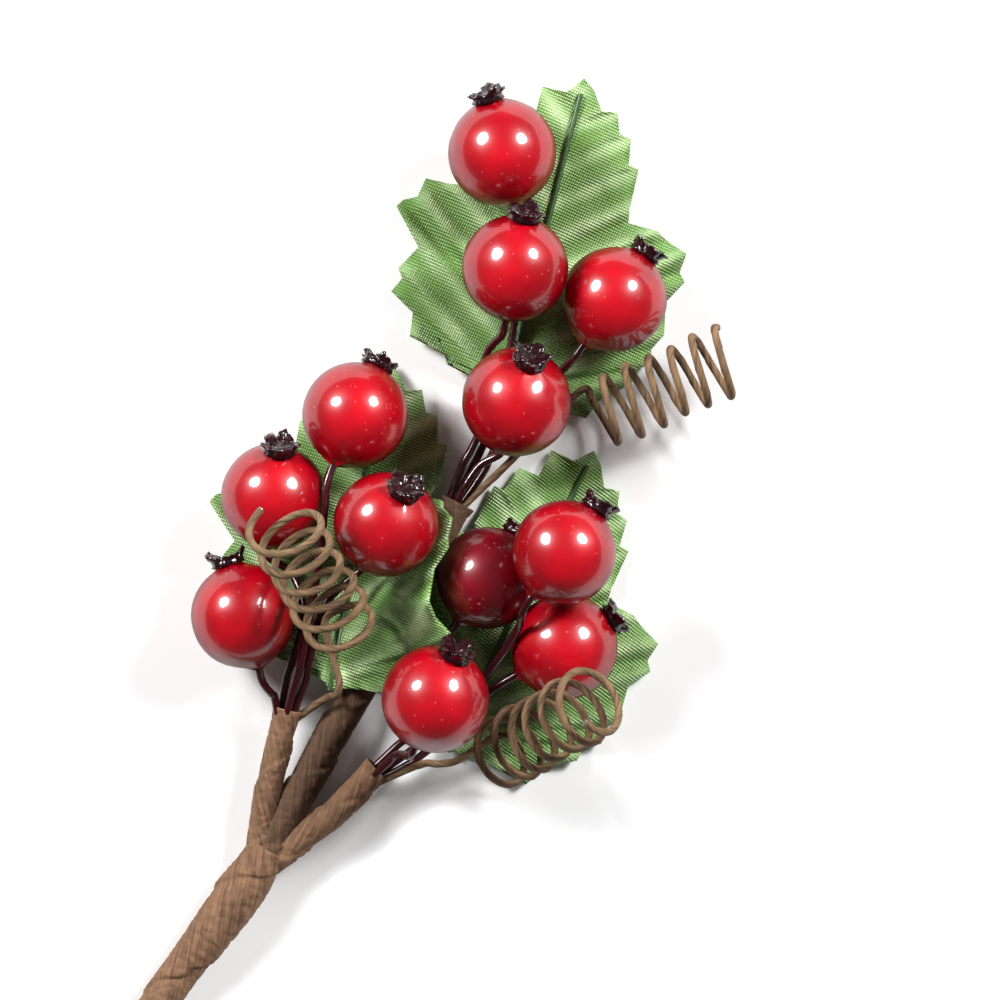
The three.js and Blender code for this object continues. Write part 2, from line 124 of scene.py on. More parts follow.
# %% A mesh object from points and faces, with smooth shading
def new_piece(name, points, faces, material, smooth=True):
    mesh = bpy.data.meshes.new(name)
    mesh.from_pydata([tuple(p) for p in points], [], faces)
    mesh.polygons.foreach_set("use_smooth", [smooth] * len(mesh.polygons))
    mesh.materials.append(material)
    piece = bpy.data.objects.new(name, mesh)
    bpy.context.scene.collection.objects.link(piece)
    return piece


# A skin of rings: each ring has the same number of points, and both ends are closed.
def ring_skin(rings):
    sides = len(rings[0])
    points = [p for ring in rings for p in ring]
    faces = []
    for i in range(len(rings) - 1):
        for k in range(sides):
            a, b = i * sides + k, i * sides + (k + 1) % sides
            faces.append((a, b, b + sides, a + sides))
    faces.append(tuple(reversed(range(sides))))
    faces.append(tuple(range(len(points) - sides, len(points))))
    return points, faces


# %% [markdown]
# ## Shared surface effects
# Lacquer, paper and cloth each need an effect of their own, made as a node group with named inputs:
# slow waves and specks of dust in the lacquer, the fibres and creases of crepe paper, and
# woven threads. A group hands back a mask or a height, and the shader stays in the material.


# %% A node group with named sockets
def new_group(name, inputs, outputs):
    group = bpy.data.node_groups.new(name, "ShaderNodeTree")
    for label, kind, value in inputs:
        socket = group.interface.new_socket(label, in_out="INPUT", socket_type=kind)
        if value is not None:
            socket.default_value = value
    for label, kind in outputs:
        group.interface.new_socket(label, in_out="OUTPUT", socket_type=kind)
    return group, group.nodes.new("NodeGroupInput"), group.nodes.new("NodeGroupOutput")


def add_node(tree, kind, **settings):
    node = tree.nodes.new(kind)
    for key, value in settings.items():
        if key in node.bl_rna.properties:
            setattr(node, key, value)
        else:
            node.inputs[key.replace("_", " ")].default_value = value
    return node


def maths(tree, operation, a, b=None, clamp=False):
    node = tree.nodes.new("ShaderNodeMath")
    node.operation = operation
    node.use_clamp = clamp
    for socket, value in zip(node.inputs, (a, b)):
        if value is None:
            continue
        if isinstance(value, (int, float)):
            socket.default_value = value
        else:
            tree.links.new(value, socket)
    return node.outputs[0]


def ramp(tree, source, stops):
    node = tree.nodes.new("ShaderNodeValToRGB")
    while len(node.color_ramp.elements) < len(stops):
        node.color_ramp.elements.new(0.5)
    for element, (place, colour) in zip(node.color_ramp.elements, stops):
        element.position = place
        element.color = (*colour, 1.0)
    tree.links.new(source, node.inputs["Fac"])
    return node.outputs["Color"]


def mixed(tree, share, first, second):
    node = tree.nodes.new("ShaderNodeMix")
    node.data_type = "RGBA"
    sockets = (node.inputs["Factor"], node.inputs["A"], node.inputs["B"])
    for socket, value in zip(sockets, (share, first, second)):
        if isinstance(value, bpy.types.NodeSocket):
            tree.links.new(value, socket)
        elif isinstance(value, (int, float)):
            socket.default_value = value
        else:
            socket.default_value = (*value, 1.0)
    return node.outputs["Result"]


VECTOR, NUMBER = "NodeSocketVector", "NodeSocketFloat"


def noise_in(tree, vector, scale, detail=3.0, roughness=0.5):
    node = add_node(tree, "ShaderNodeTexNoise", Scale=scale, Detail=detail, Roughness=roughness)
    tree.links.new(vector, node.inputs["Vector"])
    return node.outputs["Fac"]


# %% Lacquer: slow waves where it ran, and a few specks of dust caught in it
lacquer_flow, given, result = new_group(
    "lacquer_flow", [("Place", VECTOR, None), ("Wave size", NUMBER, 300.0), ("Speck size", NUMBER, 1500.0)],
    [("Height", NUMBER), ("Specks", NUMBER)])
slow = add_node(lacquer_flow, "ShaderNodeTexNoise", Detail=2.0)
specks = add_node(lacquer_flow, "ShaderNodeTexVoronoi")
for texture, size in ((slow, "Wave size"), (specks, "Speck size")):
    lacquer_flow.links.new(given.outputs["Place"], texture.inputs["Vector"])
    lacquer_flow.links.new(given.outputs[size], texture.inputs["Scale"])
dots = maths(lacquer_flow, "LESS_THAN", specks.outputs["Distance"], 0.16)
rare = maths(lacquer_flow, "GREATER_THAN", specks.outputs["Color"], 0.72)
dots = maths(lacquer_flow, "MULTIPLY", dots, rare)
raised = maths(lacquer_flow, "MULTIPLY", dots, 0.25)
lacquer_flow.links.new(maths(lacquer_flow, "ADD", slow.outputs["Fac"], raised), result.inputs["Height"])
lacquer_flow.links.new(dots, result.inputs["Specks"])

# %% Paper: long fibres with short crepe wrinkles across them
paper_fibre, given, result = new_group(
    "paper_fibre", [("Place", VECTOR, None), ("Fibres", NUMBER, 1.0), ("Wrinkles", NUMBER, 1.0)],
    [("Height", NUMBER), ("Tone", NUMBER)])
stretch = add_node(paper_fibre, "ShaderNodeMapping", Scale=(2900.0, 190.0, 2900.0))
paper_fibre.links.new(given.outputs["Place"], stretch.inputs["Vector"])
fibres = noise_in(paper_fibre, stretch.outputs["Vector"], 1.0, 4.0, 0.65)
blotch = noise_in(paper_fibre, given.outputs["Place"], 420.0, 4.0, 0.6)
crush = add_node(paper_fibre, "ShaderNodeTexNoise", Scale=900.0, Detail=4.0, Roughness=0.6,
                 noise_type="RIDGED_MULTIFRACTAL")
paper_fibre.links.new(given.outputs["Place"], crush.inputs["Vector"])
height = maths(paper_fibre, "ADD", maths(paper_fibre, "MULTIPLY", fibres, given.outputs["Fibres"]),
               maths(paper_fibre, "MULTIPLY", crush.outputs["Fac"], given.outputs["Wrinkles"]))
paper_fibre.links.new(height, result.inputs["Height"])
soft_tone = maths(paper_fibre, "MULTIPLY", blotch, 0.25)
sharp_tone = maths(paper_fibre, "MULTIPLY", fibres, 0.75)
paper_fibre.links.new(maths(paper_fibre, "ADD", soft_tone, sharp_tone), result.inputs["Tone"])

# %% Cloth: two sets of threads, over and under, from the leaf's own flat coordinates in mm
THREAD_ALONG = 0.34  # mm between the threads that cross the leaf's rib
THREAD_ACROSS = 0.26  # mm between the threads that run with the rib
WEAVE_TURN = math.radians(9.8)  # the cloth was laid a little askew under the die
VEIN_RAKE, VEIN_PITCH = 0.72, 4.4  # side veins: drift along the rib per mm across, and mm between two
cloth_weave, given, result = new_group(
    "cloth_weave",
    [("Place", VECTOR, None), ("Along", NUMBER, THREAD_ALONG), ("Across", NUMBER, THREAD_ACROSS)],
    [("Height", NUMBER), ("Gaps", NUMBER), ("Ridges", NUMBER)])
straight = cloth_weave.nodes.new("ShaderNodeSeparateXYZ")
cloth_weave.links.new(given.outputs["Place"], straight.inputs[0])
drift = maths(cloth_weave, "MULTIPLY", maths(cloth_weave, "ABSOLUTE", straight.outputs["Y"]), VEIN_RAKE)
vein = maths(cloth_weave, "SUBTRACT", straight.outputs["X"], drift)
ridge = maths(cloth_weave, "SINE", maths(cloth_weave, "MULTIPLY", vein, 2 * math.pi / VEIN_PITCH))
cloth_weave.links.new(maths(cloth_weave, "MULTIPLY", maths(cloth_weave, "ADD", ridge, 1.0), 0.5),
                      result.inputs["Ridges"])
turned = cloth_weave.nodes.new("ShaderNodeVectorRotate")
turned.rotation_type = "Z_AXIS"
turned.inputs["Angle"].default_value = -WEAVE_TURN
cloth_weave.links.new(given.outputs["Place"], turned.inputs["Vector"])
split = cloth_weave.nodes.new("ShaderNodeSeparateXYZ")
cloth_weave.links.new(turned.outputs["Vector"], split.inputs[0])
turns_u = maths(cloth_weave, "DIVIDE", split.outputs["X"], given.outputs["Along"])
turns_v = maths(cloth_weave, "DIVIDE", split.outputs["Y"], given.outputs["Across"])
wave_u = maths(cloth_weave, "SINE", maths(cloth_weave, "MULTIPLY", turns_u, 2 * math.pi))
wave_v = maths(cloth_weave, "SINE", maths(cloth_weave, "MULTIPLY", turns_v, 2 * math.pi))
over = maths(cloth_weave, "SINE", maths(cloth_weave, "MULTIPLY", turns_v, math.pi))
crossing = maths(cloth_weave, "MULTIPLY", wave_u, 0.7)
running = maths(cloth_weave, "MULTIPLY", wave_v, 0.45)
wave = maths(cloth_weave, "ADD", crossing, running)
raised = maths(cloth_weave, "MULTIPLY", over, 0.15)
cloth_weave.links.new(maths(cloth_weave, "ADD", wave, raised), result.inputs["Height"])
above_zero = maths(cloth_weave, "ADD", wave, 1.15)  # the two waves reach down to -1.15
gaps = maths(cloth_weave, "MULTIPLY", above_zero, 0.43, clamp=True)
cloth_weave.links.new(gaps, result.inputs["Gaps"])
print("effects:", [g.name for g in bpy.data.node_groups])

# %% [markdown]
# ## Finishes
# Lacquer is a clear coat over a strong colour, so the coat makes the sharp highlight while
# the colour under it stays deep; towards each ball's outline it is painted deeper as shade.
# Paper and cloth have no coat: their look comes from fibres, with painted shade on the centre
# branch and painted sheen, glints and shade in the leaf cloth's colour.


# %% A new material and the things every material needs
def new_material(name, **constants):
    material = bpy.data.materials.new(name)
    material.use_nodes = True
    tree = material.node_tree
    shader = tree.nodes["Principled BSDF"]
    for label, value in constants.items():
        shader.inputs[label.replace("_", " ")].default_value = value
    coordinates = tree.nodes.new("ShaderNodeTexCoord")
    return material, tree, shader, coordinates


def use_group(tree, group, place, **values):
    node = tree.nodes.new("ShaderNodeGroup")
    node.node_tree = group
    tree.links.new(place, node.inputs["Place"])
    for label, value in values.items():
        node.inputs[label.replace("_", " ")].default_value = value
    return node


def bump(tree, shader, height, distance, strength=1.0):
    node = add_node(tree, "ShaderNodeBump", Distance=distance, Strength=strength)
    tree.links.new(height, node.inputs["Height"])
    tree.links.new(node.outputs["Normal"], shader.inputs["Normal"])


# %% Red berry lacquer
RIM_SHADE_PULL = 0.46  # how early the colour turns deep towards the ball's outline
COAT_SHARE = 0.9  # the coat's mirror, strongest where the ball faces the eye
GLOW_SHARE = 0.42  # the soft glow round each bright mark


def berry_finish(name, bright, deep):
    material, tree, shader, where = new_material(
        name, Roughness=0.33, Coat_Roughness=0.07, Coat_IOR=1.5)
    flow = use_group(tree, lacquer_flow, where.outputs["Object"], Wave_size=240.0, Speck_size=1300.0)
    cloud = ramp(tree, noise_in(tree, where.outputs["Object"], 230.0, 3.0),
                 [(0.34, (0.0, 0.0, 0.0)), (0.62, (1.0, 1.0, 1.0))])
    red = mixed(tree, maths(tree, "MULTIPLY", cloud, 0.35), bright, deep)
    edge = add_node(tree, "ShaderNodeLayerWeight", Blend=RIM_SHADE_PULL)
    # Painted shade: the red turns deep towards the ball's outline, where the ball faces away from the eye.
    red = mixed(tree, edge.outputs["Facing"], red, deep)
    flat_on = maths(tree, "SUBTRACT", 1.0, edge.outputs["Facing"])
    tree.links.new(maths(tree, "MULTIPLY", flat_on, COAT_SHARE), shader.inputs["Coat Weight"])
    tree.links.new(maths(tree, "MULTIPLY", flat_on, GLOW_SHARE), shader.inputs["Specular IOR Level"])
    red = mixed(tree, maths(tree, "MULTIPLY", flow.outputs["Specks"], 0.4), red, (0.55, 0.12, 0.12))
    tree.links.new(red, shader.inputs["Base Color"])
    bump(tree, shader, flow.outputs["Height"], 0.00008, 0.35)
    return material


berry_lacquer = berry_finish("berry_lacquer", (0.50, 0.0, 0.008), (0.060, 0.0, 0.002))
# Painted shade: a darker copy of the red lacquer, for the berry that sits under a leaf's edge.
maroon_lacquer = berry_finish("maroon_lacquer", (0.21, 0.0, 0.008), (0.035, 0.0, 0.002))

# %% Near-black crown lacquer and burgundy wire lacquer
crown_lacquer, tree, shader, where = new_material(
    "crown_lacquer", Roughness=0.3, Specular_IOR_Level=0.15, Coat_Weight=0.8, Coat_Roughness=0.05)
flow = use_group(tree, lacquer_flow, where.outputs["Object"], Wave_size=1500.0, Speck_size=2600.0)
cloud = noise_in(tree, where.outputs["Object"], 900.0)
dark = mixed(tree, cloud, (0.004, 0.001, 0.002), (0.022, 0.002, 0.005))
tree.links.new(dark, shader.inputs["Base Color"])
bump(tree, shader, flow.outputs["Height"], 0.00010, 0.8)

wire_lacquer, tree, shader, where = new_material(
    "wire_lacquer", Roughness=0.3, Specular_IOR_Level=0.15, Coat_Weight=0.7, Coat_Roughness=0.08)
flow = use_group(tree, lacquer_flow, where.outputs["Object"], Wave_size=900.0, Speck_size=2200.0)
cloud = noise_in(tree, where.outputs["Object"], 500.0)
dark = mixed(tree, cloud, (0.010, 0.002, 0.003), (0.055, 0.003, 0.007))
tree.links.new(dark, shader.inputs["Base Color"])
bump(tree, shader, flow.outputs["Height"], 0.00015, 0.7)

# %% Brown paper tape and the darker twisted paper of the tendrils
def paper_material(name, light, deep, fibres, wrinkles, depth):
    material, tree, shader, where = new_material(name, Roughness=0.82, Specular_IOR_Level=0.3)
    paper = use_group(tree, paper_fibre, where.outputs["UV"], Fibres=fibres, Wrinkles=wrinkles)
    rubbed = tuple(c * 1.35 for c in light)
    tone = ramp(tree, paper.outputs["Tone"], [(0.36, deep), (0.54, light), (0.72, rubbed)])
    tree.links.new(tone, shader.inputs["Base Color"])
    bump(tree, shader, paper.outputs["Height"], depth, 0.9)
    return material


stem_paper = paper_material(
    "stem_paper", (0.190, 0.102, 0.056), (0.080, 0.040, 0.022), 0.7, 0.8, 0.00022)
# Painted shade: a darker copy of the stem paper for the centre branch, which lies in the shade of the
# berries.
branch_paper = paper_material(
    "branch_paper", (0.105, 0.056, 0.032), (0.050, 0.026, 0.015), 0.55, 0.7, 0.00020)
tendril_paper = paper_material(
    "tendril_paper", (0.185, 0.112, 0.058), (0.055, 0.030, 0.014), 1.0, 0.4, 0.00016)

# %% Green leaf cloth, with painted shade, sheen and glints in its colour
LEAF_GREEN = (0.150, 0.330, 0.040)
LEAF_GAP_SHADE = (0.035, 0.120, 0.010)
LEAF_SHEEN = (0.52, 0.74, 0.36)
LEAF_GLINT = (0.66, 0.82, 0.45)
leaf_cloth, tree, shader, where = new_material(
    "leaf_cloth", Roughness=0.36, Sheen_Weight=0.1, Sheen_Roughness=0.4, Specular_IOR_Level=0.65)
cloth = use_group(tree, cloth_weave, where.outputs["UV"])
patch = ramp(tree, noise_in(tree, where.outputs["Object"], 150.0, 4.0),
             [(0.36, (0.15, 0.15, 0.15)), (0.64, (1.0, 1.0, 1.0))])
# Painted shade: the gaps between the threads are darker than the threads.
green = mixed(tree, cloth.outputs["Gaps"], LEAF_GAP_SHADE, LEAF_GREEN)
# Painted sheen: a pale streak along each pressed side vein, in patches.
painted_sheen = maths(tree, "MULTIPLY", maths(tree, "POWER", cloth.outputs["Ridges"], 1.8), patch)
green = mixed(tree, maths(tree, "MULTIPLY", painted_sheen, 0.75), green, LEAF_SHEEN)
# Painted glints: pale flecks on the crowns of the threads, in patches.
thread_glint = maths(tree, "POWER", cloth.outputs["Gaps"], 3.0)
green = mixed(tree, maths(tree, "MULTIPLY", thread_glint, maths(tree, "MULTIPLY", patch, 0.7)), green, LEAF_GLINT)
tree.links.new(green, shader.inputs["Base Color"])
bump(tree, shader, cloth.outputs["Height"], 0.00008, 0.8)

# %% Dark green rib wire and bare cut steel
rib_coat, tree, shader, where = new_material("rib_coat", Roughness=0.42, Coat_Weight=0.3, Coat_Roughness=0.3)
cloud = noise_in(tree, where.outputs["Object"], 700.0)
tone = mixed(tree, cloud, (0.012, 0.045, 0.008), (0.035, 0.10, 0.018))
tree.links.new(tone, shader.inputs["Base Color"])
bump(tree, shader, noise_in(tree, where.outputs["Object"], 2400.0), 0.00008, 0.6)

cut_steel, tree, shader, where = new_material("cut_steel", Metallic=1.0)
scratch = noise_in(tree, where.outputs["Object"], 5200.0, 4.0, 0.7)
tree.links.new(mixed(tree, scratch, (0.42, 0.42, 0.43), (0.72, 0.72, 0.73)), shader.inputs["Base Color"])
tree.links.new(maths(tree, "ADD", maths(tree, "MULTIPLY", scratch, 0.3), 0.18), shader.inputs["Roughness"])
print("finishes:", sorted(m.name for m in bpy.data.materials))

# %% [markdown]
# ## The berries
# A foam ball dipped in lacquer isn't a plain sphere. Lacquer climbs the wire on one side and
# the crown on the other, so the skin rises into a small cone at both ends, and the ball has
# shallow dents. Each ball is a grid of rings round the line from its wire to its crown,
# pushed in and out by smooth noise that is different on every berry.

# %% Where each berry is, how big it is and which way its crown points
SIDES = ("centre", "left", "right")
BERRY_KEYS = [f"{side}_{n}" for side in SIDES for n in (1, 2, 3, 4)]


def berry_place(key):
    line, _ = wire_line(f"pedicel_{key}")
    ball = middle_of(f"berry_{key}")
    if (line[0] - ball).length < (line[-1] - ball).length:
        line.reverse()
    low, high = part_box(f"berry_{key}")
    radius = min(b - a for a, b in zip(low, high)) / 2
    axis = (middle_of(f"calyx_{key}") - line[-1]).normalized()
    middle = line[-1] + axis * (radius + 0.8 * MM)
    return middle, axis, radius, line


PLACES = {key: berry_place(key) for key in BERRY_KEYS}
for key, (middle, axis, radius, line) in PLACES.items():
    print("berry", key, "diameter", round(2 * radius / MM, 1), "mm")


def frame_along(axis):
    return axis.to_track_quat("Z", "Y").to_matrix()


# %% Build the balls
BALL_AROUND, BALL_ROWS = 96, 72
SEAT_RISE, NECK_RISE = 0.35 * MM, 0.5 * MM
SLOW_SWELL, QUICK_SWELL = 0.010, 0.004  # shares of the radius
DENT_DEPTH, DENT_FROM = 0.05, 0.52  # a dent is made only where the noise is stronger than this
CONE_RIDGES = 0.35  # how much the lacquer's cones are fluted
SEAT_SPREAD, NECK_SPREAD, CONE_CURVE = 0.17, 0.13, 1.3  # how far the cones run down the ball
SHADED_BERRY = "right_1"  # painted shade: this berry sits under a leaf's edge, so it gets a darker copy of the red lacquer


def ball_radius(radius, direction, polar, seed):
    offset = Vector((seed * 3.1, seed * 1.7, seed * 2.3))
    swell = SLOW_SWELL * noise.noise(direction * 1.3 + offset)
    swell += QUICK_SWELL * noise.noise(direction * 3.7 + offset)
    dent = noise.noise(direction * 2.1 + offset * 1.9)
    swell -= DENT_DEPTH * max(0.0, dent - DENT_FROM)
    r = radius * (1 + swell)
    ridges = 1 + CONE_RIDGES * math.sin(5 * math.atan2(direction.y, direction.x) + seed)
    r += SEAT_RISE * 1.5 * math.exp(-((math.pi / 2 - polar) / SEAT_SPREAD) ** CONE_CURVE * ridges)
    r += NECK_RISE * 1.3 * math.exp(-((polar + math.pi / 2) / NECK_SPREAD) ** CONE_CURVE * ridges)
    return r


def build_ball(key, seed):
    middle, axis, radius, _ = PLACES[key]
    turn = frame_along(axis)
    rings = []
    for i in range(1, BALL_ROWS):
        polar = -math.pi / 2 + math.pi * i / BALL_ROWS
        ring = []
        for k in range(BALL_AROUND):
            around = 2 * math.pi * k / BALL_AROUND
            flat = math.cos(polar)
            direction = Vector((flat * math.cos(around), flat * math.sin(around), math.sin(polar)))
            ring.append(middle + turn @ (direction * ball_radius(radius, direction, polar, seed)))
        rings.append(ring)
    # The berry under the leaf's edge gets the darker copy of the lacquer, as painted shade.
    finish = maroon_lacquer if key == SHADED_BERRY else berry_lacquer
    ball = new_piece(f"ball_{key}", *ring_skin(rings), finish)
    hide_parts(f"berry_{key}")
    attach(ball, "root")
    return ball


balls = [build_ball(key, seed + 1) for seed, key in enumerate(BERRY_KEYS)]
print(len(balls), "balls,", len(balls[0].data.polygons), "faces each")

# %% [markdown]
# ## The crowns
# The crown is a scrap of crumpled fibre dipped in the dark lacquer: five uneven lobes that
# stand round a hollow. A ring skin again, but each ring's radius swings in and out five times
# and noise folds it, so that no two crowns match.

# %% Build the crumpled crowns
CROWN_AROUND = 60
LOBES = 5
NOTCH_IN, NOTCH_DOWN = 0.40, 0.55  # how far the skin goes in and down between two lobes
BIG_FOLD, SMALL_FOLD = 0.42, 0.16  # mm that the crumpling moves the skin
CROWN_TALL = 1.3  # mm from the ball to the highest lobe
CROWN_RINGS = [  # (radius, height) of the skin from under the crown, over the rim, to the hollow
    (0.40, -0.45), (1.40, -0.42), (1.95, -0.22), (1.75, 0.10), (1.90, 0.45), (2.20, 0.85), (2.30, 1.15),
    (2.00, 1.30), (1.60, 1.00), (1.20, 0.60), (0.70, 0.40), (0.22, 0.45),
]


def build_crown(key, seed):
    middle, axis, radius, _ = PLACES[key]
    turn = frame_along(axis)
    root = middle + axis * (radius + SEAT_RISE)
    chance = random.Random(SEED + seed)
    lobes = [chance.uniform(0.45, 1.2) for _ in range(LOBES)]
    lean = [chance.uniform(-0.45, 0.45) for _ in range(LOBES)]
    rings = []
    for r, h in CROWN_RINGS:
        ring = []
        for k in range(CROWN_AROUND):
            around = 2 * math.pi * k / CROWN_AROUND
            part = around / (2 * math.pi) * LOBES
            lobe = int(part) % LOBES
            bulge = math.sin(math.pi * (part - int(part))) ** 0.8
            high = max(0.0, h) / CROWN_TALL
            size = 1 - high * (NOTCH_IN * (1 - bulge))
            tall = h * (1 - NOTCH_DOWN * (1 - bulge) * high) * (1 + (lobes[lobe] - 1) * high * bulge)
            spin = around + lean[lobe] * high * bulge
            p = Vector((r * size * math.cos(spin), r * size * math.sin(spin), tall))
            p += BIG_FOLD * high * noise.noise_vector(p * 1.6 + Vector((seed * 5.0, 0, 0)))
            p += SMALL_FOLD * noise.noise_vector(p * 4.2 + Vector((0, seed * 5.0, 0)))
            ring.append(root + turn @ (p * MM))
        rings.append(ring)
    crown = new_piece(f"crown_{key}", *ring_skin(rings), crown_lacquer)
    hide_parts(f"calyx_{key}")
    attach(crown, "root")
    return crown


crowns = [build_crown(key, seed + 1) for seed, key in enumerate(BERRY_KEYS)]
print(len(crowns), "crowns")

# %% [markdown]
# ## Wires
# Everything bendy here is a wire with a skin: lacquered berry wires, rib wires and paper
# tendrils. One Geometry Nodes tree makes them all. It resamples the path, lets noise swell
# and pinch the skin, and sweeps a profile along it. A small lip on the profile that turns
# with the path's tilt becomes the spiral edge of wound paper.


# %% The wire tree
def build_wire_tree():
    tree = bpy.data.node_groups.new("skinned_wire", "GeometryNodeTree")
    face = tree.interface
    face.new_socket("Path", in_out="INPUT", socket_type="NodeSocketGeometry")
    for label, value in (("Radius", 0.5 * MM), ("Step", 0.3 * MM), ("Swell", 0.08), ("Swell size", 700.0),
                         ("Turns per metre", 0.0), ("Lip", 0.0)):
        socket = face.new_socket(label, in_out="INPUT", socket_type="NodeSocketFloat")
        socket.default_value = value
    face.new_socket("Sides", in_out="INPUT", socket_type="NodeSocketInt").default_value = 12
    face.new_socket("Finish", in_out="INPUT", socket_type="NodeSocketMaterial")
    face.new_socket("Skin", in_out="OUTPUT", socket_type="NodeSocketGeometry")
    given = tree.nodes.new("NodeGroupInput")
    result = tree.nodes.new("NodeGroupOutput")
    link = tree.links.new

    def node(kind, **settings):
        made = tree.nodes.new(kind)
        for key, value in settings.items():
            setattr(made, key, value)
        return made

    def calc(operation, a, b):
        made = node("ShaderNodeMath", operation=operation)
        for socket, value in zip(made.inputs, (a, b)):
            if isinstance(value, (int, float)):
                socket.default_value = value
            else:
                link(value, socket)
        return made.outputs[0]

    resample = node("GeometryNodeResampleCurve", mode="LENGTH")
    link(given.outputs["Path"], resample.inputs["Curve"])
    link(given.outputs["Step"], resample.inputs["Length"])
    along = node("GeometryNodeSplineParameter")
    place = node("GeometryNodeInputPosition")
    lumps = node("ShaderNodeTexNoise")
    lumps.inputs["Detail"].default_value = 2.0
    link(place.outputs[0], lumps.inputs["Vector"])
    link(given.outputs["Swell size"], lumps.inputs["Scale"])
    swing = calc("MULTIPLY", calc("SUBTRACT", lumps.outputs["Fac"], 0.5), given.outputs["Swell"])
    thick = calc("ADD", 1.0, calc("MULTIPLY", swing, 2.0))
    radius = node("GeometryNodeSetCurveRadius")
    link(resample.outputs["Curve"], radius.inputs["Curve"])
    link(thick, radius.inputs["Radius"])
    tilt = node("GeometryNodeSetCurveTilt")
    link(radius.outputs["Curve"], tilt.inputs["Curve"])
    turns = calc("MULTIPLY", along.outputs["Length"], given.outputs["Turns per metre"])
    turn = calc("MULTIPLY", turns, 2 * math.pi)
    link(turn, tilt.inputs["Tilt"])
    keep_length = node("GeometryNodeCaptureAttribute", domain="POINT")
    keep_length.capture_items.new("FLOAT", "length_along")
    link(tilt.outputs["Curve"], keep_length.inputs["Geometry"])
    link(along.outputs["Length"], keep_length.inputs["length_along"])

    circle = node("GeometryNodeCurvePrimitiveCircle", mode="RADIUS")
    link(given.outputs["Sides"], circle.inputs["Resolution"])
    link(given.outputs["Radius"], circle.inputs["Radius"])
    spin = node("GeometryNodeSplineParameter")
    lip = calc("MULTIPLY", calc("POWER", spin.outputs["Factor"], 6.0), given.outputs["Lip"])
    scale = calc("ADD", 1.0, lip)
    spot = node("GeometryNodeInputPosition")
    grow = node("ShaderNodeVectorMath", operation="SCALE")
    link(spot.outputs[0], grow.inputs[0])
    link(scale, grow.inputs["Scale"])
    shaped = node("GeometryNodeSetPosition")
    link(circle.outputs["Curve"], shaped.inputs["Geometry"])
    link(grow.outputs[0], shaped.inputs["Position"])
    keep_turn = node("GeometryNodeCaptureAttribute", domain="POINT")
    keep_turn.capture_items.new("FLOAT", "turn_round")
    link(shaped.outputs["Geometry"], keep_turn.inputs["Geometry"])
    link(spin.outputs["Factor"], keep_turn.inputs["turn_round"])

    sweep = node("GeometryNodeCurveToMesh")
    sweep.inputs["Fill Caps"].default_value = True
    link(keep_length.outputs["Geometry"], sweep.inputs["Curve"])
    link(keep_turn.outputs["Geometry"], sweep.inputs["Profile Curve"])
    flat = node("ShaderNodeCombineXYZ")
    girth = calc("MULTIPLY", given.outputs["Radius"], 2 * math.pi)
    link(calc("MULTIPLY", keep_turn.outputs["turn_round"], girth), flat.inputs[0])
    link(keep_length.outputs["length_along"], flat.inputs[1])
    store = node("GeometryNodeStoreNamedAttribute", data_type="FLOAT2", domain="CORNER")
    store.inputs["Name"].default_value = "UVMap"
    link(sweep.outputs["Mesh"], store.inputs["Geometry"])
    link(flat.outputs[0], store.inputs["Value"])
    smooth = node("GeometryNodeSetShadeSmooth")
    link(store.outputs["Geometry"], smooth.inputs["Geometry"])
    real = node("GeometryNodeRealizeInstances")
    link(smooth.outputs["Geometry"], real.inputs["Geometry"])
    paint = node("GeometryNodeSetMaterial")
    link(real.outputs["Geometry"], paint.inputs["Geometry"])
    link(given.outputs["Finish"], paint.inputs["Material"])
    link(paint.outputs["Geometry"], result.inputs["Skin"])
    return tree


WIRE_TREE = build_wire_tree()
print("wire tree:", len(WIRE_TREE.nodes), "nodes")


# %% Sweep a skin along a line and keep the plain mesh
def smooth_path(line, per_gap=6):
    points = [line[0] * 2 - line[1], *line, line[-1] * 2 - line[-2]]
    path = []
    for i in range(1, len(points) - 2):
        a, b, c, d = points[i - 1:i + 3]
        for k in range(per_gap):
            t = k / per_gap
            path.append(0.5 * ((2 * b) + (c - a) * t + (2 * a - 5 * b + 4 * c - d) * t * t
                               + (3 * b - a - 3 * c + d) * t ** 3))
    path.append(line[-1])
    return path


def sweep_wire(name, line, finish, **values):
    curve = bpy.data.curves.new(name + "_path", "CURVE")
    curve.dimensions = "3D"
    spline = curve.splines.new("POLY")
    path = smooth_path(line)
    spline.points.add(len(path) - 1)
    for point, place in zip(spline.points, path):
        point.co = (*place, 1.0)
    holder = bpy.data.objects.new(name + "_path", curve)
    bpy.context.scene.collection.objects.link(holder)
    modifier = holder.modifiers.new("skin", "NODES")
    modifier.node_group = WIRE_TREE
    sockets = {s.name: s.identifier for s in WIRE_TREE.interface.items_tree if s.in_out == "INPUT"}
    modifier[sockets["Finish"]] = finish
    for label, value in values.items():
        modifier[sockets[label.replace("_", " ")]] = value
    seen = holder.evaluated_get(bpy.context.evaluated_depsgraph_get())
    mesh = bpy.data.meshes.new_from_object(seen)
    bpy.data.objects.remove(holder)
    mesh.name = name
    piece = bpy.data.objects.new(name, mesh)
    bpy.context.scene.collection.objects.link(piece)
    return piece


# %% Where each branch's mouth is and which way it opens
END_BAND = 1.6 * MM  # points this near a sleeve's end belong to that end


def mouth_of(side):
    low, high = (Vector(c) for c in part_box(f"branch_wrap_{side}"))
    mesh = merged_copy(f"branch_wrap_{side}")
    far = [v.co.copy() for v in mesh.verts if v.co.y > high.y - END_BAND]
    near = [v.co.copy() for v in mesh.verts if v.co.y < low.y + END_BAND]
    mesh.free()
    mouth = sum(far, Vector()) / len(far)
    return mouth, (mouth - sum(near, Vector()) / len(near)).normalized()


MOUTHS = {side: mouth_of(side) for side in SIDES}
WIRE_SPREAD = 0.45  # the wires stand closer together inside the mouth than past it
WIRE_HIDDEN = 2.0 * MM  # length of each wire out of sight in the mouth

